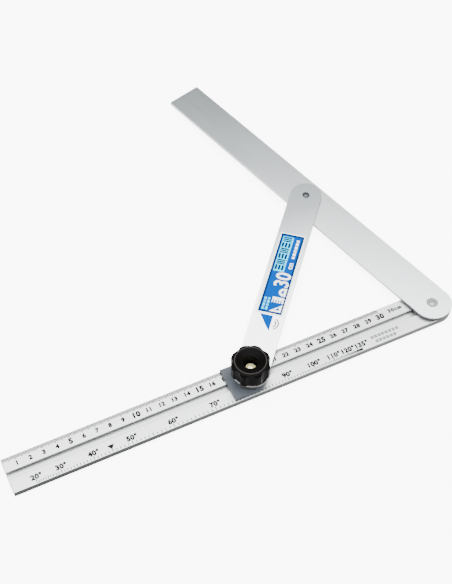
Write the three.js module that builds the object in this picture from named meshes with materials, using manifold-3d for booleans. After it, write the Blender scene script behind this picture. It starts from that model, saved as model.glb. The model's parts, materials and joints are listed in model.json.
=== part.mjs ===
// Adjustable angle gauge: a T-slotted rule, a blade pivoted at its right end, and a strut from the blade
// to a slider that a lobed knob clamps in the slot.
// Millimetres, +Z up. The origin is the centre of the rule's underside, +X runs along the rule towards
// the blade's pivot, and +Y points to the side that the blade opens on.
import * as THREE from 'three';
import { mergeVertices } from 'three/addons/utils/BufferGeometryUtils.js';
import Module from 'manifold-3d';

const wasm = await Module();
wasm.setup();

// ---- driving dimensions ----
const rule = { length: 355.6, width: 29.2, height: 4.5 };
const slot = { opening: 6.0, cavityWidth: 11.0, floor: 1.25, lip: 1.25 };
const crank = 141.3; // main pivot to strut rivet
const strutSpan = 179.4; // strut rivet to clamp bolt
const restAngle = THREE.MathUtils.degToRad(74.8); // between the rule and the blade

const blade = { width: 30, reach: 298, thickness: 2.5, cornerRadius: 1 };
const strut = { width: 25.4, thickness: 1.8 };
const slider = { width: 29, indexReach: 18, thickness: 2.7 };
const tongue = { width: 5.6, depth: 1.1, rise: 1.7, back: 15, front: 12 }; // rise is into the slider
const label = { start: 56.7, length: 79.2, width: 17.4, thickness: 0.15, cornerRadius: 1.2 };

const bolt = { radius: 2.5, headSide: 9, headHeight: 1.7, sunk: 0.8, chamfer: 0.5 }; // M5 clamp bolt
const rivetRadius = 2; // shank of both rivets
const flushHead = { radius: 4.05, height: 1.25, edge: 0.15, chamfer: 0.3 };
const counterbore = { radius: 4.2, depth: 0.9 };
const domeHead = { radius: 2.9, height: 1 };
const rivetTail = { radius: 3.6, height: 0.7, chamfer: 0.3 };
const washer = { thickness: 0.7, pivotRadius: 13.5, strutRadius: 12, knobRadius: 8 };
const pivotBlockLength = 30;
const gib = { length: 20, width: 1.9, gap: 4 }; // gap is along X, to the bolt's head

const play = 0.1; // clearance between pieces that face each other
const slotPlay = 0.15; // clearance in the slot, over and under a piece that slides
const blockPlay = 0.3; // clearance between the pivot block and the slot's walls
const holePlay = 0.2; // radial clearance around bolts and rivets
const through = 1; // how far a cutter runs past the face that it cuts
const arcSteps = 24; // segments of a plan curve
const roundSteps = 36; // segments of a turned piece
const knobSteps = 64; // segments of the knob

// ---- heights of the stack, from the rule's underside up ----
const bladeBase = rule.height + washer.thickness + play;
const bladeTop = bladeBase + blade.thickness;
const strutBase = bladeTop + 3 * play;
const strutTop = strutBase + strut.thickness;
const sliderBase = rule.height + play;
const sliderTop = sliderBase + slider.thickness;
const knobWasherBase = strutTop + play;
const knobWasherTop = knobWasherBase + washer.thickness;
const knobBase = knobWasherTop + play;

const knob = {
  top: 28, // height of the rim above the rule's underside
  skirt: 15.3, // height of the lobes' lower edge
  lowerRound: 0.5,
  lobeRadius: 14.7,
  fluteRadius: 12.9,
  lobes: 8,
  rimRadius: 11.2,
  dishRadius: 10.2,
  dishFloor: 25.2,
  wellRadius: 4.9,
  collarRadius: 8,
  fluteHalfAngle: THREE.MathUtils.degToRad(14.4), // seen from the axis, at the lobe circle
  turn: THREE.MathUtils.degToRad(-2),
};
const insert = { radius: 3.75, top: 19, threadPlay: 0.12 };

// ---- linkage at rest ----
const pivotX = rule.length / 2 - rule.width / 2;
const rivetY = crank * Math.sin(restAngle);
const strutAngle = Math.asin(rivetY / strutSpan);
const sliderX = pivotX - crank * Math.cos(restAngle) - strutSpan * Math.cos(strutAngle);
const bladeDirection = Math.PI - restAngle;

// ---- materials ----
const metal = (color, roughness) => new THREE.MeshStandardMaterial({ color, roughness, metalness: 1 });
const plastic = (color, roughness) => new THREE.MeshStandardMaterial({ color, roughness, metalness: 0 });
const anodised = metal(0xdcdedf, 0.45);
const stainless = metal(0xd4d7d9, 0.35);
const steel = metal(0x9a9da0, 0.4);
const zinc = metal(0x6a737b, 0.45);
const brass = metal(0xe0d9a8, 0.35);
const blackPlastic = plastic(0x2a2726, 0.4);
const blueFilm = plastic(0x0a78d8, 0.3);

// ---- solids ----
function toSolid(geometry) {
  const bare = geometry.index ? geometry.clone() : geometry;
  bare.deleteAttribute('normal');
  bare.deleteAttribute('uv');
  const merged = mergeVertices(bare);
  const mesh = new wasm.Mesh({
    numProp: 3,
    vertProperties: new Float32Array(merged.attributes.position.array),
    triVerts: new Uint32Array(merged.index.array),
  });
  return new wasm.Manifold(mesh);
}

function toGeometry(solid) {
  const mesh = solid.getMesh();
  const geometry = new THREE.BufferGeometry();
  geometry.setAttribute('position', new THREE.BufferAttribute(mesh.vertProperties, 3));
  geometry.setIndex(new THREE.BufferAttribute(mesh.triVerts, 1));
  geometry.computeVertexNormals();
  return geometry;
}

function subtractAll(solid, cutters) {
  return cutters.reduce((rest, cutter) => rest.subtract(cutter), solid);
}

// A flat shape in the XY plane, raised from z = base to z = top.
function plate(shape, base, top) {
  const options = { depth: top - base, bevelEnabled: false, curveSegments: arcSteps };
  return toSolid(new THREE.ExtrudeGeometry(shape, options).translate(0, 0, base));
}

function disc(radius, base, top, x = 0, y = 0) {
  const geometry = new THREE.CylinderGeometry(radius, radius, top - base, roundSteps);
  return toSolid(geometry.rotateX(Math.PI / 2).translate(x, y, (base + top) / 2));
}

function block(sizeX, sizeY, base, top, x = 0, y = 0) {
  return toSolid(new THREE.BoxGeometry(sizeX, sizeY, top - base).translate(x, y, (base + top) / 2));
}

// A profile of [radius, height] points, anticlockwise and closed on itself, turned about Z.
function turned(profile, steps = roundSteps) {
  const points = [...profile, profile[0]].map(([radius, height]) => new THREE.Vector2(radius, height));
  return toSolid(new THREE.LatheGeometry(points, steps).rotateX(Math.PI / 2));
}

function ring(inner, outer, base, top) {
  return turned([[inner, base], [outer, base], [outer, top], [inner, top]]);
}

// ---- plan outlines ----
// Straight at the left end, a half circle about centreX at the right end.
function roundRightEnd(left, centreX, radius) {
  const shape = new THREE.Shape();
  shape.moveTo(left, -radius);
  shape.lineTo(centreX, -radius);
  shape.absarc(centreX, 0, radius, -Math.PI / 2, Math.PI / 2, false);
  shape.lineTo(left, radius);
  shape.closePath();
  return shape;
}

// A half circle about the origin at the left, rounded corners at x = reach.
function bladeOutline() {
  const half = blade.width / 2;
  const corner = blade.cornerRadius;
  const shape = new THREE.Shape();
  shape.moveTo(0, -half);
  shape.lineTo(blade.reach - corner, -half);
  shape.absarc(blade.reach - corner, -half + corner, corner, -Math.PI / 2, 0, false);
  shape.lineTo(blade.reach, half - corner);
  shape.absarc(blade.reach - corner, half - corner, corner, 0, Math.PI / 2, false);
  shape.lineTo(0, half);
  shape.absarc(0, 0, half, Math.PI / 2, Math.PI * 1.5, false);
  return shape;
}

// Half circles about x = 0 and x = span.
function strutOutline() {
  const half = strut.width / 2;
  const shape = new THREE.Shape();
  shape.moveTo(0, -half);
  shape.lineTo(strutSpan, -half);
  shape.absarc(strutSpan, 0, half, -Math.PI / 2, Math.PI / 2, false);
  shape.lineTo(0, half);
  shape.absarc(0, 0, half, Math.PI / 2, Math.PI * 1.5, false);
  return shape;
}

function roundedRectangle(left, width, length, radius) {
  const half = width / 2;
  const right = left + length;
  const shape = new THREE.Shape();
  shape.moveTo(left + radius, -half);
  shape.lineTo(right - radius, -half);
  shape.absarc(right - radius, -half + radius, radius, -Math.PI / 2, 0, false);
  shape.lineTo(right, half - radius);
  shape.absarc(right - radius, half - radius, radius, 0, Math.PI / 2, false);
  shape.lineTo(left + radius, half);
  shape.absarc(left + radius, half - radius, radius, Math.PI / 2, Math.PI, false);
  shape.lineTo(left, -half + radius);
  shape.absarc(left + radius, -half + radius, radius, Math.PI, Math.PI * 1.5, false);
  return shape;
}

// ---- the T-slot, and what fills it, as boxes along X ----
// inset is how far the walls stand back from the slot's own faces.
function slotSolid(centreX, length, inset, top) {
  const cavityTop = rule.height - slot.lip;
  const wide = slot.cavityWidth - 2 * inset;
  const narrow = slot.opening - 2 * inset;
  const cavity = block(length, wide, slot.floor + inset, cavityTop - inset, centreX);
  const neckBase = cavityTop - inset - play;
  return cavity.add(block(length, narrow, neckBase, top, centreX));
}

// ---- the rule's own pieces ----
function ruleSolid() {
  const outline = roundRightEnd(-rule.length / 2, pivotX, rule.width / 2);
  const bar = plate(outline, 0, rule.height);
  return subtractAll(bar, [
    slotSolid(0, rule.length + 2 * through, 0, rule.height + through),
    disc(rivetRadius + holePlay, -through, rule.height, pivotX),
    disc(counterbore.radius, -through, counterbore.depth, pivotX),
  ]);
}

// T-shaped filler that closes the slot under the blade and backs the rivet.
function pivotBlockSolid() {
  const filler = slotSolid(pivotX, pivotBlockLength, blockPlay, rule.height - play);
  const end = roundRightEnd(-rule.length / 2, pivotX, rule.width / 2 - play);
  const trimmed = filler.intersect(plate(end, 0, rule.height));
  return trimmed.subtract(disc(rivetRadius + holePlay, 0, rule.height + through, pivotX));
}

function mainRivetSolid() {
  const headTop = bladeTop + play;
  const headBase = headTop - flushHead.height;
  return turned([
    [0, play],
    [counterbore.radius - holePlay, play],
    [counterbore.radius - holePlay, counterbore.depth - play],
    [rivetRadius, counterbore.depth - play],
    [rivetRadius, headBase],
    [flushHead.radius, headBase],
    [flushHead.radius, headTop - flushHead.edge],
    [flushHead.radius - flushHead.chamfer, headTop],
    [0, headTop],
  ]);
}

// ---- the blade's pieces, with the main pivot at the origin and the blade along +X ----
function bladeSolid() {
  const pocketFloor = bladeTop - flushHead.height;
  return subtractAll(plate(bladeOutline(), bladeBase, bladeTop), [
    disc(rivetRadius + holePlay, bladeBase - through, bladeTop + through),
    disc(flushHead.radius + holePlay, pocketFloor, bladeTop + through),
    disc(rivetRadius + holePlay, bladeBase - through, bladeTop + through, crank),
  ]);
}

// The strut rivet is one piece on the real tool. It is parted here between the strut and the blade.
function bladeRivetTailSolid() {
  const top = bladeBase - play;
  const base = top - rivetTail.height;
  return turned([
    [0, base],
    [rivetTail.radius - rivetTail.chamfer, base],
    [rivetTail.radius, base + rivetTail.chamfer],
    [rivetTail.radius, top],
    [rivetRadius, top],
    [rivetRadius, bladeTop],
    [0, bladeTop],
  ]);
}

// ---- the strut's pieces, with the clamp bolt at the origin and the strut along +X ----
function strutSolid() {
  return subtractAll(plate(strutOutline(), strutBase, strutTop), [
    disc(bolt.radius + holePlay, strutBase - through, strutTop + through),
    disc(rivetRadius + holePlay, strutBase - through, strutTop + through, strutSpan),
  ]);
}

function strutRivetSolid() {
  const headBase = strutTop + play;
  const dome = [];
  const domeSteps = 5;
  for (let i = 0; i < domeSteps; i += 1) {
    const angle = (i / domeSteps) * (Math.PI / 2);
    dome.push([domeHead.radius * Math.cos(angle), headBase + domeHead.height * Math.sin(angle)]);
  }
  return turned([
    [0, strutBase],
    [rivetRadius, strutBase],
    [rivetRadius, headBase],
    ...dome,
    [0, headBase + domeHead.height],
  ]);
}

function labelSolid() {
  const outline = roundedRectangle(label.start, label.width, label.length, label.cornerRadius);
  const base = strutTop + play / 2;
  return plate(outline, base, base + label.thickness);
}

// ---- the slider's pieces, with the clamp bolt at the origin ----
function sliderPlateSolid() {
  const outline = roundRightEnd(-slider.indexReach, 0, slider.width / 2);
  const tongueLength = tongue.back + tongue.front;
  const tongueX = (tongue.front - tongue.back) / 2;
  const keyBase = sliderBase - tongue.depth;
  const key = block(tongueLength, tongue.width, keyBase, sliderBase + tongue.rise, tongueX);
  const hole = disc(bolt.radius + holePlay, 0, sliderTop + through);
  return plate(outline, sliderBase, sliderTop).add(key).subtract(hole);
}

function clampBoltSolid() {
  const headBase = slot.floor + slotPlay;
  const headTop = headBase + bolt.headHeight;
  const shankBase = (headBase + headTop) / 2;
  const top = insert.top - bolt.sunk;
  const shank = turned([
    [0, shankBase],
    [bolt.radius, shankBase],
    [bolt.radius, top - bolt.chamfer],
    [bolt.radius - bolt.chamfer, top],
    [0, top],
  ]);
  return block(bolt.headSide, bolt.headSide, headBase, headTop).add(shank);
}

// A shoe under the slot's front lip, on the left of the bolt's head.
function slotGibSolid() {
  const cavityTop = rule.height - slot.lip;
  const x = -bolt.headSide / 2 - gib.gap - gib.length / 2;
  const y = -slot.cavityWidth / 2 + slotPlay + gib.width / 2;
  return block(gib.length, gib.width, slot.floor + slotPlay, cavityTop - slotPlay, x, y);
}

// ---- the knob, about the clamp bolt ----
function knobSolid() {
  const shoulder = knob.lobeRadius - knob.rimRadius;
  const shoulderSteps = 6;
  const curve = [];
  for (let i = 1; i < shoulderSteps; i += 1) {
    const angle = (i / shoulderSteps) * (Math.PI / 2);
    const radius = knob.rimRadius + shoulder * Math.cos(angle);
    curve.push([radius, knob.top - shoulder + shoulder * Math.sin(angle)]);
  }
  const bore = insert.radius + play;
  const body = turned([
    [bore, knobBase],
    [knob.collarRadius, knobBase],
    [knob.collarRadius, knob.skirt],
    [knob.lobeRadius - knob.lowerRound, knob.skirt],
    [knob.lobeRadius, knob.skirt + knob.lowerRound],
    [knob.lobeRadius, knob.top - shoulder],
    ...curve,
    [knob.rimRadius, knob.top],
    [knob.dishRadius, knob.top],
    [knob.wellRadius, knob.dishFloor],
    [knob.wellRadius, insert.top + play],
    [bore, insert.top + play],
  ], knobSteps);
  // Each flute is a round cutter that meets the lobe circle half a flute's width off its middle.
  const edgeX = knob.lobeRadius * Math.cos(knob.fluteHalfAngle);
  const edgeY = knob.lobeRadius * Math.sin(knob.fluteHalfAngle);
  const depth = edgeX - knob.fluteRadius;
  const cutterRadius = (edgeY * edgeY + depth * depth) / (2 * depth);
  const cutterReach = knob.fluteRadius + cutterRadius;
  const cutters = [];
  for (let i = 0; i < knob.lobes; i += 1) {
    const angle = ((i + 0.5) / knob.lobes) * 2 * Math.PI;
    const x = cutterReach * Math.cos(angle);
    const y = cutterReach * Math.sin(angle);
    cutters.push(disc(cutterRadius, knobBase - through, knob.top + through, x, y));
  }
  return subtractAll(body, cutters);
}

function knobInsertSolid() {
  return ring(bolt.radius + insert.threadPlay, insert.radius, knobBase + play, insert.top);
}

// ---- assembly ----
function piece(name, solid, material) {
  const mesh = new THREE.Mesh(toGeometry(solid), material);
  mesh.name = name;
  return mesh;
}

// Washers sit between two faces with half the usual play on each side.
function washerBetween(holeRadius, radius, lower, upper) {
  return ring(holeRadius, radius, lower + play / 2, upper - play / 2);
}

const rivetHole = rivetRadius + holePlay;
const pivotWasher = washerBetween(rivetHole, washer.pivotRadius, rule.height, bladeBase);
const atPivot = new THREE.Group();
atPivot.position.set(pivotX, 0, 0);
atPivot.add(
  piece('main_rivet', mainRivetSolid(), steel),
  piece('pivot_washer', pivotWasher, steel),
);

const bladeGroup = new THREE.Group();
bladeGroup.position.set(pivotX, 0, 0);
bladeGroup.rotation.z = bladeDirection;
const bladeRivetTail = piece('blade_rivet_tail', bladeRivetTailSolid(), steel);
bladeRivetTail.position.x = crank;
bladeGroup.add(piece('blade', bladeSolid(), stainless), bladeRivetTail);

const strutGroup = new THREE.Group();
strutGroup.position.set(sliderX, 0, 0);
strutGroup.rotation.z = strutAngle;
const strutRivet = piece('strut_rivet', strutRivetSolid(), steel);
strutRivet.position.x = strutSpan;
strutGroup.add(
  piece('strut', strutSolid(), stainless),
  strutRivet,
  piece('strut_label', labelSolid(), blueFilm),
);

const boltHole = bolt.radius + holePlay;
const strutWasher = washerBetween(boltHole, washer.strutRadius, sliderTop, strutBase);
const sliderGroup = new THREE.Group();
sliderGroup.position.set(sliderX, 0, 0);
sliderGroup.add(
  piece('slider_plate', sliderPlateSolid(), zinc),
  piece('clamp_bolt', clampBoltSolid(), brass),
  piece('slot_gib', slotGibSolid(), steel),
  piece('strut_washer', strutWasher, steel),
  piece('knob_washer', ring(boltHole, washer.knobRadius, knobWasherBase, knobWasherTop), steel),
);

const knobGroup = new THREE.Group();
knobGroup.position.set(sliderX, 0, 0);
knobGroup.rotation.z = knob.turn;
knobGroup.add(
  piece('knob_body', knobSolid(), blackPlastic),
  piece('knob_insert', knobInsertSolid(), brass),
);

const group = new THREE.Group();
group.add(
  piece('rule', ruleSolid(), anodised),
  piece('pivot_block', pivotBlockSolid(), steel),
  atPivot,
  bladeGroup,
  strutGroup,
  sliderGroup,
  knobGroup,
);

export default group;
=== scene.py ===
"""Looks of an adjustable angle gauge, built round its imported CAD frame. Metres, +Z up."""

import json
import math

import bmesh
import bpy
from mathutils import Matrix, Vector


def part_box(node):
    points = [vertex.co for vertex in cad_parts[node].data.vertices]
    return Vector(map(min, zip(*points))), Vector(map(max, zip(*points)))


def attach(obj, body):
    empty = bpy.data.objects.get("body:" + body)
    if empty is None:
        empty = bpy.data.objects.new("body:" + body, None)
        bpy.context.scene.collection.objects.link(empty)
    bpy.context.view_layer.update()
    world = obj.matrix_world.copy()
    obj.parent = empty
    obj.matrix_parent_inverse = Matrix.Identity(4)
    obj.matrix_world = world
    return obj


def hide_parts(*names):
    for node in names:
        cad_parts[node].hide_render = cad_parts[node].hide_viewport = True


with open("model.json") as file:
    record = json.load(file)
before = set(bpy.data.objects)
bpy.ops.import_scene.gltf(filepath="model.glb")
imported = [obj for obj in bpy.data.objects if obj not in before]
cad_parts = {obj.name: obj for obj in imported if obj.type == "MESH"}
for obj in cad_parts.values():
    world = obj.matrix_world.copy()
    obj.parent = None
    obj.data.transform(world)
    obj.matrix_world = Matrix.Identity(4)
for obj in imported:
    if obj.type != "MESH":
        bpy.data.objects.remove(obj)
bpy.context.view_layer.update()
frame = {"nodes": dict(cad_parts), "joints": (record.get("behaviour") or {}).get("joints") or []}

# ---- sizes and places, read from the frame ----
MM = 0.001
JOINTS = {joint["name"]: joint for joint in frame["joints"]}
PIVOT = Vector(JOINTS["blade_open"]["pos_m"])
BOLT = Vector(JOINTS["strut_open"]["pos_m"])
RULE_LOW, RULE_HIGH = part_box("rule")
RULE_LENGTH = RULE_HIGH.x - RULE_LOW.x
RULE_WIDTH = RULE_HIGH.y - RULE_LOW.y
RULE_TOP = RULE_HIGH.z
BLADE_BASE, BLADE_TOP = (corner.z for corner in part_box("blade"))
STRUT_BASE, STRUT_TOP = (corner.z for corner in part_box("strut"))
SLIDER_LOW, SLIDER_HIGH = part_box("slider_plate")
KNOB_LOW, KNOB_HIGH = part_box("knob_body")
INSERT_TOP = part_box("knob_insert")[1].z


def middle(node):
    low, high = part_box(node)
    return (low + high) / 2


RIVET = middle("strut_rivet")
CRANK = (RIVET.xy - PIVOT.xy).length
STRUT_SPAN = (RIVET.xy - BOLT.xy).length
BLADE_ANGLE = math.atan2(RIVET.y - PIVOT.y, RIVET.x - PIVOT.x)
STRUT_ANGLE = math.atan2(RIVET.y - BOLT.y, RIVET.x - BOLT.x)
BLADE_WIDTH = 30 * MM
BLADE_REACH = 298 * MM
STRUT_WIDTH = 25.4 * MM
SLIDER_BASE = RULE_TOP + 0.1 * MM
SLOT_OPENING = 6 * MM
SLOT_CAVITY = 11 * MM
SLOT_FLOOR = 1.25 * MM
SLOT_LIP = 1.25 * MM
FRONT_CHAMFER = 0.5 * MM
RIVET_HOLE = 2.2 * MM
BOLT_HOLE = 2.7 * MM


# ---- meshes ----
DISC_STEPS = 72
ROUND_STEPS = 64
CORNER_STEPS = 6
BEVELLED_FROM = math.radians(38)
SHARP_FROM = math.radians(40)
SAME_PLACE = 1e-7


def arc(centre_x, centre_y, radius, start, end, steps):
    """Points on a circle's arc, with both its ends. Angles in degrees."""
    points = []
    for i in range(steps + 1):
        angle = math.radians(start + (end - start) * i / steps)
        points.append((centre_x + radius * math.cos(angle), centre_y + radius * math.sin(angle)))
    return points


def rectangle(start, end, right, left):
    """An outline from start to end in X and from right to left in Y."""
    return [(start, right), (end, right), (end, left), (start, left)]


def new_object(name, mesh):
    piece = bpy.data.objects.new(name, mesh)
    bpy.context.scene.collection.objects.link(piece)
    return piece


def close_up(shape, name):
    """Ends a bmesh and makes it a piece."""
    mesh = bpy.data.meshes.new(name)
    bmesh.ops.recalc_face_normals(shape, faces=shape.faces)
    shape.to_mesh(mesh)
    shape.free()
    return new_object(name, mesh)


def prism_into(shape, outline, base, top):
    """Adds a closed flat-sided body on an outline in XY to a bmesh."""
    floor = [shape.verts.new((x, y, base)) for x, y in outline]
    roof = [shape.verts.new((x, y, top)) for x, y in outline]
    shape.faces.new(floor)
    shape.faces.new(roof)
    for i in range(len(outline)):
        shape.faces.new((floor[i - 1], floor[i], roof[i], roof[i - 1]))


def prism(name, outline, base, top):
    shape = bmesh.new()
    prism_into(shape, outline, base, top)
    return close_up(shape, name)


def disc(name, x, y, radius, base, top):
    last = DISC_STEPS - 1
    return prism(name, arc(x, y, radius, 0, 360 * last / DISC_STEPS, last), base, top)


def settle(piece):
    """Turns the piece's modifiers into its mesh."""
    depsgraph = bpy.context.evaluated_depsgraph_get()
    mesh = bpy.data.meshes.new_from_object(piece.evaluated_get(depsgraph))
    piece.modifiers.clear()
    piece.data = mesh


def combine(piece, operation, *others):
    """Unites others with the piece or cuts them from it, and removes them."""
    for other in others:
        boolean = piece.modifiers.new("combine", "BOOLEAN")
        boolean.operation = operation
        boolean.solver = "EXACT"
        boolean.object = other
    settle(piece)
    for other in others:
        bpy.data.objects.remove(other)


def soften(piece, width, segments=2):
    """Rounds the piece's sharp edges and keeps its flats flat."""
    bevel = piece.modifiers.new("soften", "BEVEL")
    bevel.width = width
    bevel.segments = segments
    bevel.limit_method = "ANGLE"
    bevel.angle_limit = BEVELLED_FROM
    bevel.miter_outer = "MITER_ARC"
    for face in piece.data.polygons:
        face.use_smooth = True
    weighted = piece.modifiers.new("flats", "WEIGHTED_NORMAL")
    weighted.weight = 100
    settle(piece)


def place(piece, origin, angle):
    """Turns a piece modelled along +X at the origin about Z, and moves it to origin in XY."""
    turn = Matrix.Rotation(angle, 4, "Z")
    piece.data.transform(Matrix.Translation((origin.x, origin.y, 0)) @ turn)


def revolve(name, profile, steps, radius_at=None):
    """A closed (radius, height) profile turned about Z. radius_at(radius, angle) may reshape it."""
    shape = bmesh.new()
    rings = []
    for i in range(steps):
        angle = 2 * math.pi * i / steps
        ring = []
        for radius, height in profile:
            reach = radius_at(radius, angle) if radius_at else radius
            ring.append(shape.verts.new((reach * math.cos(angle), reach * math.sin(angle), height)))
        rings.append(ring)
    count = len(profile)
    for i in range(steps):
        here, there = rings[i], rings[(i + 1) % steps]
        for k in range(count):
            after = (k + 1) % count
            shape.faces.new((here[k], there[k], there[after], here[after]))
    bmesh.ops.remove_doubles(shape, verts=shape.verts, dist=SAME_PLACE)
    piece = close_up(shape, name)
    piece.data.shade_smooth()
    piece.data.set_sharp_from_angle(angle=SHARP_FROM)
    return piece


# ---- materials ----
GRAIN_DEPTH = 0.02 * MM
# The height over which the knob's painted rim highlight fades in.
HIGHLIGHT_BAND = 0.15 * MM
NOISE_LOW, NOISE_HIGH = 0.3, 0.7


def shader(name, base, metallic, roughness, specular=0.5):
    """A material, and its node tree's parts: nodes, links and the principled shader."""
    material = bpy.data.materials.new(name)
    material.use_nodes = True
    nodes = material.node_tree.nodes
    surface = nodes["Principled BSDF"]
    surface.inputs["Base Color"].default_value = (*base, 1)
    surface.inputs["Metallic"].default_value = metallic
    surface.inputs["Roughness"].default_value = roughness
    surface.inputs["Specular IOR Level"].default_value = specular
    return material, nodes, material.node_tree.links, surface


def noise(nodes, links, scale, stretch=(1, 1, 1), angle=0.0, detail=3.0):
    """Noise in the piece's own coordinates, stretched along an axis turned by angle about Z."""
    coordinates = nodes.new("ShaderNodeTexCoord")
    turn = nodes.new("ShaderNodeMapping")
    turn.vector_type = "TEXTURE"
    turn.inputs["Rotation"].default_value = (0, 0, angle)
    turn.inputs["Scale"].default_value = stretch
    texture = nodes.new("ShaderNodeTexNoise")
    texture.inputs["Scale"].default_value = scale
    texture.inputs["Detail"].default_value = detail
    links.new(coordinates.outputs["Object"], turn.inputs["Vector"])
    links.new(turn.outputs["Vector"], texture.inputs["Vector"])
    return texture.outputs["Fac"]


def spread(nodes, links, value, low, high):
    """value, which noise keeps near 0.5, spread over low to high."""
    ramp = nodes.new("ShaderNodeMapRange")
    ramp.inputs["From Min"].default_value = NOISE_LOW
    ramp.inputs["From Max"].default_value = NOISE_HIGH
    ramp.inputs["To Min"].default_value = low
    ramp.inputs["To Max"].default_value = high
    links.new(value, ramp.inputs["Value"])
    return ramp.outputs["Result"]


def blend_colors(nodes, links, factor, first, second):
    """A mix of two colours, each a tuple or a node's output."""
    mix = nodes.new("ShaderNodeMix")
    mix.data_type = "RGBA"
    links.new(factor, mix.inputs["Factor"])
    for socket, color in ((mix.inputs["A"], first), (mix.inputs["B"], second)):
        if isinstance(color, tuple):
            socket.default_value = (*color, 1)
        else:
            links.new(color, socket)
    return mix.outputs["Result"]


def scaled(nodes, links, color, share):
    """The colour of a node's output, darkened to a share of itself."""
    scale = nodes.new("ShaderNodeVectorMath")
    scale.operation = "SCALE"
    scale.inputs["Scale"].default_value = share
    links.new(color, scale.inputs[0])
    return scale.outputs["Vector"]


def bump(nodes, links, surface, height, strength):
    node = nodes.new("ShaderNodeBump")
    node.inputs["Strength"].default_value = strength
    node.inputs["Distance"].default_value = GRAIN_DEPTH
    links.new(height, node.inputs["Height"])
    links.new(node.outputs["Normal"], surface.inputs["Normal"])


def facing_up(nodes, links, low, high):
    """1 on a piece's top and underside and 0 on its sides. low and high bound the step between them."""
    geometry = nodes.new("ShaderNodeNewGeometry")
    split = nodes.new("ShaderNodeSeparateXYZ")
    size = nodes.new("ShaderNodeMath")
    size.operation = "ABSOLUTE"
    ramp = nodes.new("ShaderNodeMapRange")
    ramp.interpolation_type = "SMOOTHSTEP"
    ramp.inputs["From Min"].default_value = low
    ramp.inputs["From Max"].default_value = high
    links.new(geometry.outputs["Normal"], split.inputs["Vector"])
    links.new(split.outputs["Z"], size.inputs[0])
    links.new(size.outputs["Value"], ramp.inputs["Value"])
    return ramp.outputs["Result"]


def along(nodes, links, axis, low, high):
    """0 at low to 1 at high along one of the piece's own axes."""
    coordinates = nodes.new("ShaderNodeTexCoord")
    split = nodes.new("ShaderNodeSeparateXYZ")
    ramp = nodes.new("ShaderNodeMapRange")
    ramp.inputs["From Min"].default_value = low
    ramp.inputs["From Max"].default_value = high
    links.new(coordinates.outputs["Object"], split.inputs["Vector"])
    links.new(split.outputs[axis], ramp.inputs["Value"])
    return ramp.outputs["Result"]


def drawn_metal(name, face, edge, far_edge, roughness, angle=0.0, far_face=None,
                run=("X", -0.12, 0.1), edge_run=None, rim=(0.85, 0.99), dull_sides=False,
                streaks=0.88, unevenness=0.06):
    """Satin metal with fine lines along its length, and painted light and shade on its sides and in
    gradients.

    Its sides do not show the metal's colour: edge is their painted tone, painted shade where it is darker
    than the top and painted light where it is lighter. The tones turn into far_face, if given, and
    far_edge
    along run: an axis, and where on it they start and end. This is a painted gradient of light and shade.
    edge_run, if given, takes the place of run for the sides. rim bounds the step from the sides to the
    top on a rounded edge. dull_sides takes the metal off the sides, so that their painted tone shows
    evenly.
    streaks is the darkest line's share of the tone, and unevenness how far the lines change the
    roughness.
    """
    material, nodes, links, surface = shader(name, face, 1.0, roughness)
    lines = noise(nodes, links, scale=1400, stretch=(90, 1, 1), angle=angle, detail=4)
    clouds = noise(nodes, links, scale=22, stretch=(3, 1, 1), angle=angle)
    # A painted gradient of light and shade along run.
    painted_gradient = along(nodes, links, *run)
    tone = blend_colors(nodes, links, painted_gradient, face, far_face or face)
    dull = scaled(nodes, links, tone, streaks)
    streaked = blend_colors(nodes, links, spread(nodes, links, lines, 0, 1), dull, tone)
    wear_and_highlight = scaled(nodes, links, tone, 0.95)
    clouded = blend_colors(nodes, links, spread(nodes, links, clouds, 0, 0.6), streaked, wear_and_highlight)
    # The sides' tone is painted light and shade, not the metal's colour.
    painted_side_gradient = along(nodes, links, *edge_run) if edge_run else painted_gradient
    painted_side_light = blend_colors(nodes, links, painted_side_gradient, edge, far_edge)
    on_top = facing_up(nodes, links, *rim)
    toned = blend_colors(nodes, links, on_top, painted_side_light, clouded)
    # Sides without metal show their painted tone evenly.
    if dull_sides:
        links.new(on_top, surface.inputs["Metallic"])
    links.new(toned, surface.inputs["Base Color"])
    rough = spread(nodes, links, lines, roughness - unevenness, roughness + unevenness)
    links.new(rough, surface.inputs["Roughness"])
    bump(nodes, links, surface, lines, strength=0.12)
    return material


def turned_metal(name, base, roughness):
    """Plain steel or brass with a fine, even tool finish."""
    material, nodes, links, surface = shader(name, base, 1.0, roughness)
    grain = noise(nodes, links, scale=2600, detail=2)
    dull = tuple(channel * 0.8 for channel in base)
    links.new(blend_colors(nodes, links, spread(nodes, links, grain, 0, 1), dull, base),
              surface.inputs["Base Color"])
    links.new(spread(nodes, links, grain, roughness - 0.06, roughness + 0.1), surface.inputs["Roughness"])
    bump(nodes, links, surface, grain, strength=0.2)
    return material


def moulded(name, base, roughness, specular, wear_and_highlight=None, highlight_from=0.0):
    """Moulded plastic or sprayed paint: fine pebbled skin, slightly uneven gloss.

    A tone given for the top is painted onto what lies above a given height: a painted highlight, not
    wear.
    """
    material, nodes, links, surface = shader(name, base, 0.0, roughness, specular)
    pebbles = noise(nodes, links, scale=2200, detail=2)
    clouds = noise(nodes, links, scale=120)
    light = tuple(channel * 1.3 for channel in base)
    color = blend_colors(nodes, links, spread(nodes, links, clouds, 0, 1), base, light)
    # Painted highlight: a lighter tone over all that lies above the given height.
    if wear_and_highlight:
        height = along(nodes, links, "Z", highlight_from, highlight_from + HIGHLIGHT_BAND)
        color = blend_colors(nodes, links, height, color, wear_and_highlight)
    links.new(color, surface.inputs["Base Color"])
    rough = spread(nodes, links, clouds, roughness - 0.05, roughness + 0.06)
    links.new(rough, surface.inputs["Roughness"])
    bump(nodes, links, surface, pebbles, strength=0.25)
    return material


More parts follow.
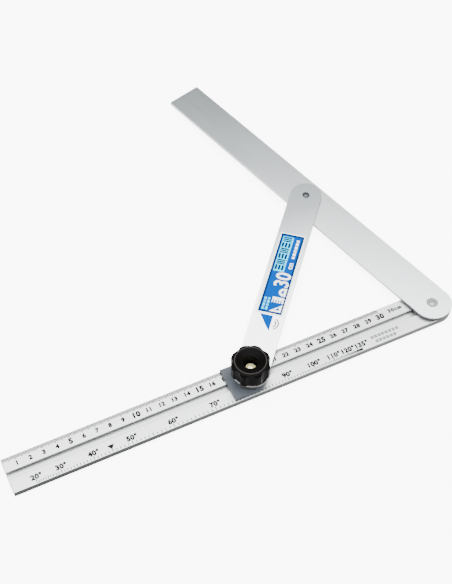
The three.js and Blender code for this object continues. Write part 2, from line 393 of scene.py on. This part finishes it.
def printed(name, base, roughness=0.4, specular=0.0):
    """Ink or printed film with a slightly uneven density."""
    material, nodes, links, surface = shader(name, base, 0.0, roughness, specular)
    density = noise(nodes, links, scale=900, detail=2)
    thin = tuple(min(1.0, channel * 1.15) for channel in base)
    links.new(blend_colors(nodes, links, spread(nodes, links, density, 0, 1), base, thin),
              surface.inputs["Base Color"])
    rough = spread(nodes, links, density, roughness - 0.04, roughness + 0.06)
    links.new(rough, surface.inputs["Roughness"])
    return material


# The rule's sides are painted dark, less so to the right: painted shade and a painted gradient of light,
# not the anodising's colour.
RULE_METAL = drawn_metal(
    "anodised_aluminium", face=(0.60, 0.61, 0.62), edge=(0.055, 0.058, 0.06),
    far_edge=(0.16, 0.165, 0.17), roughness=0.34)
# The slot's walls are painted lighter than the rule's sides, more so to the right: painted light in the
# slot's shade.
SLOT_PAINTED_LIGHT_METAL = drawn_metal(
    "slot_painted_light", face=(0.60, 0.61, 0.62), edge=(0.38, 0.39, 0.40),
    far_edge=(0.85, 0.86, 0.87), roughness=0.45)
# The blade's top is painted darker towards its tip: a painted gradient of light. Its sides are painted
# near white, a painted reflection, and near black where they lie over the rule: a painted shadow under
# the blade.
BLADE_METAL = drawn_metal(
    "blade_metal", face=(0.64, 0.68, 0.69), far_face=(0.50, 0.555, 0.575), run=("Y", 0.11, 0.29),
    edge=(0.95, 0.95, 0.95), far_edge=(0.035, 0.037, 0.04), edge_run=("Y", 0.018, 0.010),
    rim=(0.75, 0.95), dull_sides=True, roughness=0.19, angle=BLADE_ANGLE, streaks=0.96, unevenness=0.02)
# The strut's top is painted darker towards its rivet: painted shade. Its sides go from a mid tone to near
# black there: a painted shadow of the gap over the blade.
STRUT_METAL = drawn_metal(
    "strut_metal", face=(0.92, 0.93, 0.93), far_face=(0.41, 0.44, 0.455), run=("Y", 0.05, 0.125),
    edge=(0.55, 0.56, 0.57), far_edge=(0.02, 0.021, 0.022),
    roughness=0.19, angle=STRUT_ANGLE, streaks=0.96, unevenness=0.02)
STEEL = turned_metal("rivet_steel", (0.31, 0.32, 0.325), 0.38)
DARK_STEEL = turned_metal("dark_rivet_steel", (0.06, 0.065, 0.07), 0.35)
BRASS = turned_metal("brass", (0.95, 0.90, 0.58), 0.35)
SLIDER_PAINT = moulded("slider_paint", (0.060, 0.069, 0.080), 0.40, 0.08)
# The knob's top bead takes a lighter tone: a painted highlight along its rim, not wear.
KNOB_PLASTIC = moulded("black_plastic", (0.0018, 0.0016, 0.0015), 0.36, 0.025,
                       wear_and_highlight=(0.042, 0.039, 0.037), highlight_from=KNOB_HIGH.z - 0.12 * MM)
INK = printed("scale_ink", (0.004, 0.004, 0.0045), 0.5, 0.05)
LABEL_FILM = printed("label_film_clear", (0.90, 0.97, 1.0))
LABEL_BLUE = printed("label_blue", (0.0, 0.050, 0.27))
LABEL_NAVY = printed("label_navy", (0.001, 0.014, 0.070))
LABEL_CYAN = printed("label_cyan", (0.04, 0.62, 1.0))
LABEL_WHITE = printed("label_white", (0.93, 0.95, 0.96))


def dress(piece, material, body, slot, *nodes):
    """The piece's finish, the body it rides on and the CAD nodes it stands for."""
    piece.data.materials.clear()
    piece.data.materials.append(material)
    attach(piece, body)
    if nodes:
        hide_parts(*nodes)


# ---- the rule ----
RULE_ROUND = 0.34 * MM
RECESS_RADIUS = 4.2 * MM
RECESS_DEPTH = 0.9 * MM
CLOSE = 0.01 * MM


def slot_cutter():
    """The T-slot's section, run through the whole rule."""
    section = [
        (-SLOT_CAVITY / 2, SLOT_FLOOR),
        (SLOT_CAVITY / 2, SLOT_FLOOR),
        (SLOT_CAVITY / 2, RULE_TOP - SLOT_LIP),
        (SLOT_OPENING / 2, RULE_TOP - SLOT_LIP),
        (SLOT_OPENING / 2, RULE_TOP * 2),
        (-SLOT_OPENING / 2, RULE_TOP * 2),
        (-SLOT_OPENING / 2, RULE_TOP - SLOT_LIP),
        (-SLOT_CAVITY / 2, RULE_TOP - SLOT_LIP),
    ]
    cutter = prism("slot_cutter", section, -RULE_LENGTH, RULE_LENGTH)
    # the section's x, y and height become the rule's y, z and x
    cutter.data.transform(Matrix(((0, 0, 1, 0), (1, 0, 0, 0), (0, 1, 0, 0), (0, 0, 0, 1))))
    return cutter


def chamfer_front(piece, width):
    """Cuts a flat chamfer along the top of the rule's front edge and the front half of its round end."""
    mesh = piece.data
    shape = bmesh.new()
    shape.from_mesh(mesh)
    edges = [
        edge for edge in shape.edges
        if all(vertex.co.z > RULE_TOP - CLOSE and vertex.co.y < CLOSE for vertex in edge.verts)
    ]
    bmesh.ops.bevel(shape, geom=edges, offset=width, offset_type="OFFSET", segments=1, profile=0.5,
                    affect="EDGES")
    shape.to_mesh(mesh)
    shape.free()


def line_slot(piece):
    """Gives the faces inside the slot the slot's material, with painted light on its walls."""
    piece.data.materials.append(SLOT_PAINTED_LIGHT_METAL)
    reach = SLOT_CAVITY / 2 + 0.1 * MM
    lowest = SLOT_FLOOR - 0.05 * MM
    for face in piece.data.polygons:
        lengthwise = abs(face.normal.x) < 0.5
        if lengthwise and abs(face.center.y) < reach and face.center.z > lowest:
            face.material_index = 1


def make_rule():
    """Square at the left, round at the pivot, and recessed underneath for the main rivet's foot."""
    half = RULE_WIDTH / 2
    outline = [(RULE_LOW.x, -half), *arc(PIVOT.x, 0, half, -90, 90, ROUND_STEPS), (RULE_LOW.x, half)]
    piece = prism("rule_body", outline, 0, RULE_TOP)
    chamfer_front(piece, FRONT_CHAMFER)
    recess = disc("recess_cutter", PIVOT.x, 0, RECESS_RADIUS, -MM, RECESS_DEPTH)
    combine(piece, "DIFFERENCE", slot_cutter(), recess)
    soften(piece, RULE_ROUND)
    dress(piece, RULE_METAL, "rule", "anodised_aluminium", "rule")
    line_slot(piece)


# ---- scale marks ----
INK_THICKNESS = 0.03 * MM
INK_BASE = RULE_TOP - INK_THICKNESS / 3
INK_TOP = INK_BASE + INK_THICKNESS
INK_MIDDLE = INK_BASE + INK_THICKNESS / 2
CAPITAL_SHARE = 0.73  # of a font's size, the height of its capitals
TICK_WIDTH = 0.64 * MM
NUMERAL_SPACING = 1.12
SCALE_START = RULE_LOW.x
SCALE_END = 300  # the last mark, in millimetres
BACK_EDGE = RULE_WIDTH / 2
EDGE_MARGIN = 0.35 * MM
INDEX_REACH = BOLT.x - SLIDER_LOW.x
LOWEST_ANGLE, HIGHEST_ANGLE = 20, 135


def box_into(shape, x, y, width, length, base, top):
    """Adds a box centred on x, y to a bmesh."""
    size = Matrix.Diagonal((width, length, top - base, 1))
    bmesh.ops.create_cube(shape, size=1, matrix=Matrix.Translation((x, y, (base + top) / 2)) @ size)


def text_mesh(words, height, weight, spacing):
    """Flat closed letters centred on the origin.

    Their capitals are about height tall before weight thickens their strokes all round.
    """
    curve = bpy.data.curves.new("words", "FONT")
    curve.body = words
    curve.size = height / CAPITAL_SHARE
    curve.bevel_depth = weight
    curve.bevel_resolution = 0
    curve.space_character = spacing
    curve.align_x = "CENTER"
    curve.align_y = "CENTER"
    holder = new_object("words", curve)
    depsgraph = bpy.context.evaluated_depsgraph_get()
    mesh = bpy.data.meshes.new_from_object(holder.evaluated_get(depsgraph))
    bpy.data.objects.remove(holder)
    low = min(vertex.co.y for vertex in mesh.vertices)
    high = max(vertex.co.y for vertex in mesh.vertices)
    flat = Matrix.Diagonal((1, 1, INK_THICKNESS / 2 / weight, 1))
    mesh.transform(flat @ Matrix.Translation((0, -(low + high) / 2, 0)))
    return mesh


def text_into(shape, words, height, matrix, weight, spacing=1.0):
    mesh = text_mesh(words, height, weight, spacing)
    mesh.transform(matrix)
    shape.from_mesh(mesh)
    bpy.data.meshes.remove(mesh)


def slider_reach(angle):
    """The distance from the main pivot to the clamp bolt when the gauge reads angle, in degrees."""
    turn = math.radians(angle)
    return CRANK * math.cos(turn) + math.sqrt(STRUT_SPAN ** 2 - (CRANK * math.sin(turn)) ** 2)


def index_x(angle):
    """Where the slider's left edge stands when the gauge reads angle."""
    return PIVOT.x - slider_reach(angle) - INDEX_REACH


def ink_box(shape, x, y, width, length):
    box_into(shape, x, y, width, length, INK_BASE, INK_TOP)


def tick(shape, x, y_from, y_to):
    """One mark across the rule, from y_from to y_to."""
    ink_box(shape, x, (y_from + y_to) / 2, TICK_WIDTH, abs(y_to - y_from))


def number(shape, words, x, y, height, weight, spacing=NUMERAL_SPACING):
    text_into(shape, words, height, Matrix.Translation((x, y, INK_MIDDLE)), weight, spacing)


def make_length_scale():
    """Millimetre marks along the rule's back edge, and centimetre numerals."""
    shape = bmesh.new()
    start = BACK_EDGE - EDGE_MARGIN
    for mark in range(1, SCALE_END + 1):
        if mark % 10 == 0:
            length = 3.7 * MM
        elif mark % 5 == 0:
            length = 3.3 * MM
        else:
            length = 2.7 * MM
        tick(shape, SCALE_START + mark * MM, start, start - length)
    numeral_y = 7.6 * MM
    for centimetre in range(1, SCALE_END // 10 + 1):
        x = SCALE_START + centimetre * 10 * MM
        height, weight = (4.3 * MM, 0.4 * MM) if centimetre % 5 == 0 else (3.4 * MM, 0.34 * MM)
        number(shape, str(centimetre), x, numeral_y, height, weight)
    unit_x, unit_y = SCALE_START + 313.6 * MM, 9.2 * MM
    number(shape, "30cm", unit_x, unit_y, height=3.1 * MM, weight=0.3 * MM, spacing=1.3)
    dress(close_up(shape, "length_scale"), INK, "rule", "black_plastic")


def hatch(shape, x, y, upright):
    """Three short strokes that stand for a letter of the small note."""
    for i in (-1, 0, 1):
        if upright:
            ink_box(shape, x + i * 0.85 * MM, y, width=0.6 * MM, length=2.5 * MM)
        else:
            ink_box(shape, x, y + i * 0.9 * MM, width=2.3 * MM, length=0.62 * MM)


def make_angle_scale():
    """Degree marks along the front edge, read at the slider's left edge, numerals and a small note."""
    shape = bmesh.new()
    start = -BACK_EDGE + FRONT_CHAMFER + EDGE_MARGIN
    for angle in range(LOWEST_ANGLE, HIGHEST_ANGLE + 1):
        if angle % 10 == 0 or angle == HIGHEST_ANGLE:
            length = 3.0 * MM
        elif angle % 5 == 0:
            length = 2.6 * MM
        else:
            length = 2.0 * MM
        tick(shape, index_x(angle), start, start + length)
    numeral_y = -8.4 * MM
    for angle in (*range(LOWEST_ANGLE, 121, 10), HIGHEST_ANGLE):
        number(shape, f"{angle}°", index_x(angle) + MM, numeral_y, height=3.9 * MM, weight=0.36 * MM)
    pointer_x = index_x(45)
    tip = (pointer_x, -11.4 * MM)
    half = 2.8 * MM
    back = -7.4 * MM
    prism_into(shape, [tip, (pointer_x + half, back), (pointer_x - half, back)], INK_BASE, INK_TOP)
    note_start = index_x(HIGHEST_ANGLE) + 10.4 * MM
    pitch = 3 * MM
    for indent, y, count in ((MM, -6.7 * MM, 8), (3 * MM, -10.9 * MM, 6)):
        for i in range(count):
            hatch(shape, note_start + indent + pitch * i, y, i % 2 == 0)
    dress(close_up(shape, "angle_scale"), INK, "rule", "black_plastic")


# ---- the blade and the strut ----
HEAD_POCKET = 4.25 * MM
POCKET_DEPTH = 1.3 * MM
STRUT_END = 10.0 * MM
BAR_ROUND = 0.3 * MM


def make_blade():
    """Round at the pivot and square at the tip, with a pocket for the main rivet's head."""
    half = BLADE_WIDTH / 2
    corner = MM
    outline = [
        *arc(0, 0, half, 90, 270, ROUND_STEPS),
        *arc(BLADE_REACH - corner, -half + corner, corner, -90, 0, CORNER_STEPS),
        *arc(BLADE_REACH - corner, half - corner, corner, 0, 90, CORNER_STEPS),
    ]
    piece = prism("blade_bar", outline, BLADE_BASE, BLADE_TOP)
    pocket = disc("pocket", 0, 0, HEAD_POCKET, BLADE_TOP - POCKET_DEPTH, BLADE_TOP + MM)
    hole = disc("hole", CRANK, 0, RIVET_HOLE, 0, BLADE_TOP + MM)
    combine(piece, "DIFFERENCE", pocket, hole)
    soften(piece, BAR_ROUND)
    place(piece, PIVOT, BLADE_ANGLE)
    dress(piece, BLADE_METAL, "blade", "satin_blade", "blade")


def make_strut():
    """Round at the rivet and blunter, STRUT_END long, at the bolt."""
    half = STRUT_WIDTH / 2
    blunt = [(x * STRUT_END / half, y) for x, y in arc(0, 0, half, 90, 270, ROUND_STEPS)]
    outline = [*blunt, *arc(STRUT_SPAN, 0, half, -90, 90, ROUND_STEPS)]
    piece = prism("strut_bar", outline, STRUT_BASE, STRUT_TOP)
    bolt_hole = disc("bolt_hole", 0, 0, BOLT_HOLE, 0, STRUT_TOP + MM)
    rivet_hole = disc("rivet_hole", STRUT_SPAN, 0, RIVET_HOLE, 0, STRUT_TOP + MM)
    combine(piece, "DIFFERENCE", bolt_hole, rivet_hole)
    soften(piece, BAR_ROUND)
    place(piece, BOLT, STRUT_ANGLE)
    dress(piece, STRUT_METAL, "strut", "satin_blade", "strut")


# ---- rivets ----
SHANK_RADIUS = 2.0 * MM


def make_main_rivet():
    """A flush head with a pressed ring round its middle."""
    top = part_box("main_rivet")[1].z
    foot, foot_base, foot_top = 4.0 * MM, 0.1 * MM, 0.8 * MM
    head = 4.05 * MM
    underside, side_top, face, ring = (top - drop * MM for drop in (1.25, 0.35, 0.1, 0.45))
    profile = [
        (0, foot_base), (foot, foot_base), (foot, foot_top), (SHANK_RADIUS, foot_top),
        (SHANK_RADIUS, underside), (head, underside), (head, side_top), (head - 0.25 * MM, face),
        (3.3 * MM, face), (3.0 * MM, ring), (2.3 * MM, ring), (1.9 * MM, face), (0.9 * MM, top), (0, top),
    ]
    piece = revolve("main_rivet_head", profile, steps=72)
    place(piece, PIVOT, 0)
    dress(piece, STEEL, "rule", "steel", "main_rivet")


def make_strut_rivet():
    """A low dome on a shank. The dome's profile starts a few degrees up, which leaves it a thin edge."""
    low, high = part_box("strut_rivet")
    radius = (high.x - low.x) / 2
    head = STRUT_TOP + 0.1 * MM
    profile = [(0, low.z), (SHANK_RADIUS, low.z), (SHANK_RADIUS, head), (radius - 0.15 * MM, head)]
    steps = 12
    dome_start = 8
    for i in range(steps + 1):
        angle = math.radians(dome_start + (90 - dome_start) * i / steps)
        profile.append((radius * math.cos(angle), head + (high.z - head) * math.sin(angle)))
    piece = revolve("strut_rivet_head", profile, steps=64)
    place(piece, RIVET, 0)
    dress(piece, DARK_STEEL, "strut", "steel", "strut_rivet")


# ---- the slider ----
SLIDER_END = 10.5 * MM
SLIDER_FRONT = 13.3 * MM
SLIDER_ROUND = 0.45 * MM
KEY_START, KEY_END = -15 * MM, 12 * MM
KEY_HALF_WIDTH = 2.8 * MM


def make_slider():
    """Square at the left, blunt and round under the strut, with its front edge short of the rule's."""
    back = SLIDER_HIGH.y
    blunt = []
    for x, y in arc(0, 0, 1, -90, 90, ROUND_STEPS):
        blunt.append((x * SLIDER_END, y * (back if y > 0 else SLIDER_FRONT)))
    outline = [(-INDEX_REACH, -SLIDER_FRONT), *blunt, (-INDEX_REACH, back)]
    piece = prism("slider_body", outline, SLIDER_BASE, SLIDER_HIGH.z)
    key_outline = rectangle(KEY_START, KEY_END, -KEY_HALF_WIDTH, KEY_HALF_WIDTH)
    key = prism("key", key_outline, SLIDER_LOW.z, SLIDER_HIGH.z - MM)
    combine(piece, "UNION", key)
    combine(piece, "DIFFERENCE", disc("bolt_hole", 0, 0, BOLT_HOLE, 0, SLIDER_HIGH.z + MM))
    soften(piece, SLIDER_ROUND, segments=3)
    place(piece, BOLT, 0)
    dress(piece, SLIDER_PAINT, "slider", "grey_zinc", "slider_plate")


# ---- the knob ----
LOBES = 8
LOBE_RADIUS = 14.7 * MM
FLUTE_RADIUS = 12.9 * MM
FLUTE_HALF_ANGLE = math.radians(14.4)
FLUTE_EDGE = 0.5 * MM
KNOB_TURN = math.radians(-2)
SKIRT_BASE = 15.3 * MM
SKIRT_CHAMFER = 0.5 * MM
BOSS_RADIUS = 8 * MM
SHOULDER = 2.7 * MM
BEAD = 0.2 * MM
WELL_RADIUS = 4.9 * MM
BORE_RADIUS = 3.85 * MM
DISH_FLOOR = 25.2 * MM


def flute_wall(angle):
    """The distance from the knob's axis to the nearest flute's wall along angle, or None clear of it."""
    edge_x = LOBE_RADIUS * math.cos(FLUTE_HALF_ANGLE)
    edge_y = LOBE_RADIUS * math.sin(FLUTE_HALF_ANGLE)
    depth = edge_x - FLUTE_RADIUS
    cutter = (edge_y ** 2 + depth ** 2) / (2 * depth)
    reach = FLUTE_RADIUS + cutter
    pitch = 2 * math.pi / LOBES
    off = (angle - KNOB_TURN) % pitch - pitch / 2
    under_root = cutter ** 2 - (reach * math.sin(off)) ** 2
    if under_root <= 0:
        return None
    return reach * math.cos(off) - math.sqrt(under_root)


def lobed(radius, angle):
    """radius, kept inside the flutes with a rounded meeting edge."""
    wall = flute_wall(angle)
    if wall is None or radius < FLUTE_RADIUS - FLUTE_EDGE * 4:
        return radius
    gap = max(FLUTE_EDGE - abs(radius - wall), 0) / FLUTE_EDGE
    return min(radius, wall) - gap * gap * FLUTE_EDGE / 4


def knob_profile():
    """Up the boss, the skirt and the round shoulder to a bead round the dish, and down into the well."""
    top = KNOB_HIGH.z
    rim = LOBE_RADIUS - SHOULDER
    side_low = SKIRT_BASE + SKIRT_CHAMFER
    side_high = top - BEAD - SHOULDER
    profile = [
        (BORE_RADIUS, KNOB_LOW.z), (BOSS_RADIUS, KNOB_LOW.z), (BOSS_RADIUS, SKIRT_BASE),
        (LOBE_RADIUS - SKIRT_CHAMFER, SKIRT_BASE), (LOBE_RADIUS, side_low),
    ]
    side_steps = 6
    for i in range(1, side_steps):
        profile.append((LOBE_RADIUS, side_low + (side_high - side_low) * i / side_steps))
    curve_steps = 12
    for i in range(curve_steps + 1):
        angle = math.pi / 2 * i / curve_steps
        profile.append((rim + SHOULDER * math.cos(angle), side_high + SHOULDER * math.sin(angle)))
    profile += [(rim - 0.15 * MM, top - BEAD * 0.35), (rim - 0.3 * MM, top)]
    profile += rounded_dish(top, rim)
    shelf = INSERT_TOP + 0.1 * MM
    profile += [(WELL_RADIUS, shelf), (BORE_RADIUS, shelf)]
    return profile


def rounded_dish(top, rim):
    """From the bead, over a small round, down the cone and into the well."""
    dish_edge = rim - MM
    slope = (top - DISH_FLOOR) / (dish_edge - WELL_RADIUS)
    points = [(dish_edge + 0.2 * MM, top), (dish_edge, top - 0.2 * MM)]
    steps = 5
    for i in range(1, steps):
        radius = dish_edge + (WELL_RADIUS - dish_edge) * i / steps
        points.append((radius, top - slope * (dish_edge - radius)))
    for outward, upward in ((0.35, 0.2), (0.08, -0.05), (0, -0.4)):
        points.append((WELL_RADIUS + outward * MM, DISH_FLOOR + upward * MM))
    return points


def make_knob():
    piece = revolve("knob_shell", knob_profile(), steps=240, radius_at=lobed)
    place(piece, BOLT, 0)
    dress(piece, KNOB_PLASTIC, "knob", "black_plastic", "knob_body")


def make_insert():
    """The brass bush that the bolt's thread runs in."""
    low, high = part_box("knob_insert")
    outer = (high.x - low.x) / 2
    inner = 2.62 * MM
    chamfer = 0.35 * MM
    profile = [
        (inner, low.z), (outer, low.z), (outer, high.z - chamfer), (outer - chamfer, high.z),
        (inner + chamfer, high.z), (inner, high.z - chamfer),
    ]
    piece = revolve("insert_bush", profile, steps=72)
    place(piece, BOLT, 0)
    dress(piece, BRASS, "knob", "brass", "knob_insert")


# ---- the label ----
LABEL_START = 56.0 * MM
LABEL_LENGTH = 80.6 * MM
LABEL_HALF = 10.2 * MM
LABEL_BASE, LABEL_TOP = (corner.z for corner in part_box("strut_label"))
PRINT = 0.02 * MM
PRINT_STRETCH = 1.1
DASH_GAP = 0.8  # in millimetres, as every size of the print is
SIGN_BASE = STRUT_TOP + 0.01 * MM


def on_layer(points, layer):
    """An outline in metres on a layer of the label, from points in millimetres, and the layer's base."""
    return [(x * MM, y * MM) for x, y in points], LABEL_TOP + (layer - 1) * PRINT


def slab(start, end, right, left, layer=1):
    """A rectangle of print on the label. start and end run along the strut, right and left across it."""
    return on_layer(rectangle(start, end, right, left), layer)


def dashes(start, lengths, right, left, layer):
    """A row of dashes that stands for a line of small print."""
    row = []
    for length in lengths:
        row.append(slab(start, start + length, right, left, layer))
        start += length + DASH_GAP
    return row


def print_piece(name, material, slabs, caption=None, slot="blue_film", stretch=PRINT_STRETCH):
    """Prints slabs and a caption as one piece on the strut, stretched across it.

    A caption is words, height, weight, and its place along the strut, across it and in layers.
    """
    shape = bmesh.new()
    for outline, base in slabs:
        prism_into(shape, outline, base, base + PRINT)
    if caption:
        words, height, weight, along_strut, across, layer = caption
        centre = (along_strut * MM, across * MM, LABEL_TOP + (layer - 0.5) * PRINT)
        text_into(shape, words, height * MM, Matrix.Translation(centre), weight * MM)
    piece = close_up(shape, name)
    piece.data.transform(Matrix.Diagonal((1, stretch, 1, 1)))
    place(piece, BOLT, STRUT_ANGLE)
    dress(piece, material, "strut", slot)


def make_label():
    """The film that the label is printed on."""
    left = LABEL_START
    right = LABEL_START + LABEL_LENGTH
    corner = 1.2 * MM
    inner = LABEL_HALF - corner
    outline = [
        *arc(right - corner, -inner, corner, -90, 0, CORNER_STEPS),
        *arc(right - corner, inner, corner, 0, 90, CORNER_STEPS),
        *arc(left + corner, inner, corner, 90, 180, CORNER_STEPS),
        *arc(left + corner, -inner, corner, 180, 270, CORNER_STEPS),
    ]
    film = prism("label_film", outline, LABEL_BASE, LABEL_TOP)
    place(film, BOLT, STRUT_ANGLE)
    dress(film, LABEL_FILM, "strut", "blue_film", "strut_label")


def make_print():
    """The label's print. Across is positive to the strut's left, looking from the bolt to the rivet."""
    print_piece("label_border", LABEL_NAVY, [slab(57.1, 135.5, -8.3, 8.3)])
    print_piece("label_ground", LABEL_BLUE, [slab(58.4, 134.0, -7.0, 7.0, 2)])
    print_piece("label_panel", LABEL_CYAN, [
        slab(97.4, 132.8, -1.2, 6.5, 3),
        *dashes(59.4, (2.2, 3.1, 1.6, 2.4), 4.8, 6.4, 3),
        *dashes(59.4, (3.0, 1.8, 2.8, 1.8), 2.3, 3.9, 3),
    ])
    set_square = on_layer([(58.9, -7.2), (66.2, -7.2), (58.9, 1.0)], 3)
    protractor = on_layer([*arc(78.2, -5.9, 3.9, 0, 180, 20), (74.3, -7.2), (82.1, -7.2)], 3)
    white = [set_square, slab(67.4, 72.8, -7.2, 1.0, 3), protractor]
    white += dashes(112.0, (2.2, 3.0, 1.8, 3.4, 2.6, 2.0), -5.7, -3.7, 3)
    print_piece("label_white_print", LABEL_WHITE, white, caption=("30", 10.6, 0.35, 89.8, -2.0, 3))
    print_piece("label_unit", LABEL_WHITE, [], caption=("cm", 3.9, 0.12, 104.6, -4.9, 3))
    holes = [
        on_layer([(60.6, -5.6), (63.2, -5.6), (60.6, -2.6)], 4),
        on_layer([*arc(78.2, -5.5, 1.7, 0, 180, 16)], 4),
        *[slab(67.4, 70.0, y, y + 0.8, 4) for y in (-5.9, -4.1, -2.3, -0.5)],
    ]
    print_piece("label_holes", LABEL_BLUE, holes)
    first, pitch = 98.9, 5.7
    low, high = -0.1, 5.9
    marks = []
    for i in range(6):
        start = first + pitch * i
        if i % 2:
            marks += [slab(start + 1.8 * k, start + 1.8 * k + 1.3, low, high, 4) for k in range(3)]
        else:
            marks += [slab(start, start + 4.9, low + 2.3 * k, 1.4 + 2.3 * k, 4) for k in range(3)]
    print_piece("label_dark_print", LABEL_NAVY, marks)


def make_angle_sign():
    """A plain angle sign printed on the strut below the label: a filled wedge and two arcs beside it."""
    wedge = [(55.2 * MM, -3.4 * MM), (55.2 * MM, 6.8 * MM), (40.4 * MM, -3.4 * MM)]
    print_piece("angle_sign_fill", LABEL_BLUE, [(wedge, SIGN_BASE)], stretch=1)
    centre_x, centre_y = 48 * MM, -3.6 * MM
    half_line = 0.45 * MM
    lines = []
    for radius in (3.4 * MM, 5.4 * MM):
        outer = arc(centre_x, centre_y, radius + half_line, -150, -30, 16)
        inner = arc(centre_x, centre_y, radius - half_line, -150, -30, 16)
        lines.append(([*outer, *reversed(inner)], SIGN_BASE))
    print_piece("angle_sign_lines", INK, lines, slot="black_plastic", stretch=1)


# ---- pieces that keep their CAD shape ----
def finish_cad_nodes():
    for node, material in (
        ("pivot_block", DARK_STEEL),
        ("pivot_washer", STEEL),
        ("blade_rivet_tail", STEEL),
        ("slot_gib", STEEL),
        ("clamp_bolt", BRASS),
        ("strut_washer", STEEL),
        ("knob_washer", STEEL),
    ):
        mesh = frame["nodes"][node].data
        mesh.materials.clear()
        mesh.materials.append(material)


# ---- stage, light and camera ----
OBJECT_MIDDLE = Vector((0, 0.1, 0))
BACKDROP_GLOW = 7.5
FLOOR_HALF_SIZE = 20.0
SKY_STRENGTH = 7.9
SKY_LEVELS = (  # how far up the dome, and how bright it is there
    (0.0, 0.14), (0.45, 0.1), (0.6, 0.045), (0.69, 0.055), (0.745, 0.13), (0.775, 0.34),
    (0.8, 0.85), (0.82, 1.0), (0.85, 0.8), (1.0, 0.8),
)


def glow(nodes, links, strength):
    """strength where the camera sees the stage itself, and 0 in what the stage sends to the object."""
    path = nodes.new("ShaderNodeLightPath")
    scale = nodes.new("ShaderNodeMath")
    scale.operation = "MULTIPLY"
    scale.inputs[1].default_value = strength
    links.new(path.outputs["Is Camera Ray"], scale.inputs[0])
    return scale.outputs["Value"]


def make_floor():
    """A slab just under the rule, so wide that no view reaches its edges."""
    half = FLOOR_HALF_SIZE
    floor = prism("floor", rectangle(-half, half, -half, half), -20 * MM, -0.3 * MM)
    material, nodes, links, surface = shader("pale_floor", (0.6, 0.6, 0.6), 0.0, 0.8, 0.1)
    surface.inputs["Emission Color"].default_value = (1, 1, 1, 1)
    links.new(glow(nodes, links, BACKDROP_GLOW), surface.inputs["Emission Strength"])
    floor.data.materials.append(material)


def make_world():
    """A dome of light, bright overhead and dim in a band half way up."""
    world = bpy.data.worlds.new("studio")
    bpy.context.scene.world = world
    world.use_nodes = True
    nodes = world.node_tree.nodes
    links = world.node_tree.links
    background = nodes["Background"]
    direction = nodes.new("ShaderNodeTexCoord")
    split = nodes.new("ShaderNodeSeparateXYZ")
    ramp = nodes.new("ShaderNodeValToRGB")
    stops = ramp.color_ramp.elements
    for height, level in SKY_LEVELS:
        stop = stops.new(height)
        stop.color = (level, level, level, 1)
    stops.remove(stops[0])
    stops.remove(stops[-1])
    links.new(direction.outputs["Generated"], split.inputs["Vector"])
    links.new(split.outputs["Z"], ramp.inputs["Fac"])
    links.new(ramp.outputs["Color"], background.inputs["Color"])
    background.inputs["Strength"].default_value = SKY_STRENGTH


def make_light(name, location, size, power):
    """A square area light that faces the object."""
    light = bpy.data.lights.new(name, "AREA")
    light.size = size
    light.energy = power
    holder = new_object(name, light)
    holder.location = location
    aim = OBJECT_MIDDLE - Vector(location)
    holder.rotation_euler = aim.to_track_quat("-Z", "Y").to_euler()


def make_camera():
    """The photograph's viewing angle: turned from +Y, tilted down and rolled slightly."""
    eye = Vector((-0.2121, -0.4420, 0.7645))
    heading, tilt, roll = math.radians(-24.677), math.radians(52.963), math.radians(-0.8)
    level = math.cos(tilt)
    ahead = Vector((-math.sin(heading) * level, math.cos(heading) * level, -math.sin(tilt)))
    right = Vector((math.cos(heading), math.sin(heading), 0))
    up = right.cross(ahead)
    turned_right = math.cos(roll) * right + math.sin(roll) * up
    turned_up = -math.sin(roll) * right + math.cos(roll) * up
    camera = bpy.data.cameras.new("camera")
    camera.lens = 76.33
    camera.sensor_width = 36
    holder = new_object("camera", camera)
    rows = Matrix((turned_right, turned_up, -ahead)).transposed()
    holder.matrix_world = Matrix.Translation(eye) @ rows.to_4x4()
    bpy.context.scene.camera = holder


make_camera()
make_rule()
make_length_scale()
make_angle_scale()
make_blade()
make_strut()
make_main_rivet()
make_strut_rivet()
make_slider()
make_knob()
make_insert()
make_label()
make_print()
make_angle_sign()
finish_cad_nodes()
make_floor()
make_world()
make_light("overhead_light", location=(0.1, 0.2, 1.2), size=0.6, power=3)
